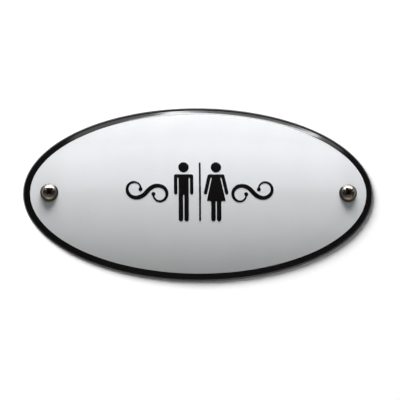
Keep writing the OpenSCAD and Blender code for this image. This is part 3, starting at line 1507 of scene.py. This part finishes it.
@dataclass(frozen=True)
class Wall:
    """The white wall that the sign hangs on. It shows from the front only, and stops no light."""

    size: float = 1.2
    behind: float = 0.05  # behind the foot's plane, in millimetres

    def build(self) -> bpy.types.Object:
        """Makes the wall.

        Returns:
            The wall.
        """
        material, graph = new_graph("white_wall")
        seen = graph.ray(Ray.CAMERA).either(graph.ray(Ray.GLOSSY))
        seen = seen.either(graph.ray(Ray.TRANSMISSION))
        behind = graph.node("ShaderNodeNewGeometry", output="Backfacing")
        paint = graph.node("ShaderNodeBsdfDiffuse", None, {"Color": opaque(WHITE)})
        clear = graph.node("ShaderNodeBsdfTransparent")
        graph.finish(graph.blend(seen * (1 - behind), clear, paint))
        y = self.behind * MM
        return staged("wall", [(x, y, z) for x, z in square(self.size)], material)


@dataclass(frozen=True)
class Floor:
    """A plain pale floor, well below the sign."""

    drop: float = 1.4
    size: float = 6.0
    colour: Colour = (0.86, 0.86, 0.855)
    glow: float = 0.8  # how evenly pale the camera sees it

    def build(self) -> bpy.types.Object:
        """Makes the floor.

        Returns:
            The floor.
        """
        material, graph = new_graph("pale_floor")
        pale = {"Color": opaque(self.colour)}
        paint = graph.node("ShaderNodeBsdfDiffuse", None, pale)
        glow = graph.node("ShaderNodeEmission", None, {**pale, "Strength": 1.0})
        graph.finish(graph.blend(graph.ray(Ray.CAMERA) * self.glow, paint, glow))
        return staged("floor", [(x, y, -self.drop) for x, y in square(self.size)], material)


@dataclass(frozen=True)
class Surroundings:
    """The studio round the sign: white behind it, and dim to all other sides."""

    front: Colour = (0.02, 0.02, 0.02)
    above: Colour = (0.06, 0.06, 0.065)
    below: Colour = (0.05, 0.045, 0.03)
    behind: Colour = (0.12, 0.12, 0.12)

    def build(self) -> None:
        """Writes the world's nodes."""
        world = bpy.data.worlds.new("studio")
        bpy.context.scene.world = world
        world.use_nodes = True
        graph = Graph(world.node_tree)
        _, y, z = graph.axes(graph.node("ShaderNodeTexCoord", output="Generated"))
        colour = graph.mix(z.ease(0.1, 0.9), self.front, self.above)
        colour = graph.mix(z.ease(-0.05, -0.5), colour, self.below)
        colour = graph.mix(y.ease(0.0, 0.3), colour, self.behind)
        dim = graph.node("ShaderNodeBackground", None, {"Color": colour, "Strength": 1.0})
        white = graph.node("ShaderNodeBackground", None,
                           {"Color": opaque(WHITE), "Strength": 1.0})
        graph.finish(graph.blend(graph.ray(Ray.CAMERA), dim, white), "ShaderNodeOutputWorld")


@dataclass(frozen=True)
class Viewpoint:
    """The camera: a little to the left of the sign, a little below it, and far off."""

    azimuth: float = -3.5
    elevation: float = -8.6
    roll: float = -0.42
    lens: float = 150.0
    sensor: float = 36.0
    frame_width: float = 0.1141  # at the sign, in metres
    centre: tuple[float, float] = (199.0, 193.9)  # the sign's middle, in pixels
    pixels: int = 400

    def build(self) -> None:
        """Makes the camera and hands the scene to it."""
        data = bpy.data.cameras.new("viewpoint")
        data.lens, data.sensor_width = self.lens, self.sensor
        camera = placed("viewpoint", data)
        back = direction(self.azimuth, self.elevation)
        turn = (-back).to_track_quat("-Z", "Y") @ Quaternion((0, 0, 1), math.radians(self.roll))
        pixel = self.frame_width / self.pixels
        right = (self.pixels / 2 - self.centre[0]) * pixel
        up = (self.centre[1] - self.pixels / 2) * pixel
        target = Vector((0, -MM, 0)) + turn @ Vector((right, up, 0))
        camera.rotation_euler = turn.to_euler()
        camera.location = target + back * (self.frame_width * self.lens / self.sensor)
        bpy.context.scene.camera = camera


WHITE_ENAMEL = GlossyEnamel("white_enamel", colour=(0.86, 0.875, 0.89),
                            cloud=(0.84, 0.856, 0.872), speck=(0.3, 0.28, 0.26))
BLACK_ENAMEL = GlossyEnamel("black_enamel", colour=(0.0062, 0.0052, 0.0056),
                            cloud=(0.0075, 0.0065, 0.0068), speck=(0.05, 0.05, 0.05))

RECESS_TURNS = {"left_screw": 42.0, "right_screw": 33.0}  # in degrees

SOFT_BOXES = (
    SoftBox("window", 9.5, 39, 1.2, 0.52, 0.3, 24.0, lights=Lit.BLACK, droop=30.0),
    SoftBox("window_glow", 6, 43, 1.2, 0.9, 0.5, 1.8, lights=Lit.BLACK),
    SoftBox("overhead", 0, 72.5, 1.0, 1.2, 0.25, 8.5, (0.98, 0.95, 0.93), Lit.WHITE),
    SoftBox("upper_lamp", 0, 62, 1.0, 0.6, 0.25, 19.9, (0.965, 0.965, 0.975), Lit.WHITE),
    SoftBox("upper_front", 4, 21, 1.5, 1.15, 0.56, 1.55, (0.82, 0.93, 1.0), Lit.WHITE),
    SoftBox("low_fill", 0, -60, 1.2, 1.2, 0.6, 0.5, (1.0, 0.8, 0.55), Lit.WHITE),
    SoftBox("over_screws", 8, 88, 0.9, 1.6, 0.85, 4.0, lights=Lit.METAL),
    SoftBox("under_screws", 5, -82, 1.0, 1.4, 0.4, 1.4, (1.0, 0.86, 0.6), Lit.METAL),
    SoftBox("before_screws", 0, 5, 1.2, 1.2, 0.8, 0.14, (1.0, 0.66, 0.62), Lit.METAL),
    SoftBox("from_behind", 160, 35, 1.2, 1.0, 1.0, 1.0),
    SoftBox("wall_light", -42.5, 38, 1.5, 1.05, 1.05, 12.0, lights=Lit.WALL),
    SoftBox("wall_fill", 0, 0, 1.5, 1.0, 0.5, 1.9, lights=Lit.WALL),
)


def receivers(pieces: Mapping[Lit, Sequence[bpy.types.Object]]
              ) -> dict[Lit, bpy.types.Collection]:
    """Groups what each kind of lamp lights.

    Args:
        pieces: the objects for each kind.

    Returns:
        A collection for each kind.
    """
    groups = {}
    for kind, members in pieces.items():
        groups[kind] = bpy.data.collections.new(f"lit_{kind.value}")
        for member in members:
            groups[kind].objects.link(member)
    return groups


def main() -> None:
    """Builds the sign and its studio."""
    logging.basicConfig(level=logging.INFO, format="%(name)s: %(message)s")
    bpy.context.scene.view_settings.view_transform = "Standard"
    Viewpoint().build()
    oval = DomedOval()
    white, black = WHITE_ENAMEL.material(), BLACK_ENAMEL.material()
    plate = EnamelPlate(oval).build(white, GroundCoat(oval).material())
    border = BlackBorder(oval).build(black)
    pictogram = Pictogram(oval).build(black)
    screws = WoodScrew(oval).build(NickelPlate().material(), RECESS_TURNS)
    wall, floor = Wall().build(), Floor().build()
    groups = receivers({Lit.SIGN: [plate, border, pictogram, *screws, floor],
                        Lit.WHITE: [plate], Lit.BLACK: [border, pictogram],
                        Lit.METAL: screws, Lit.WALL: [wall]})
    for box in SOFT_BOXES:
        box.hang(groups)
    Surroundings().build()


if __name__ == "__main__":
    main()
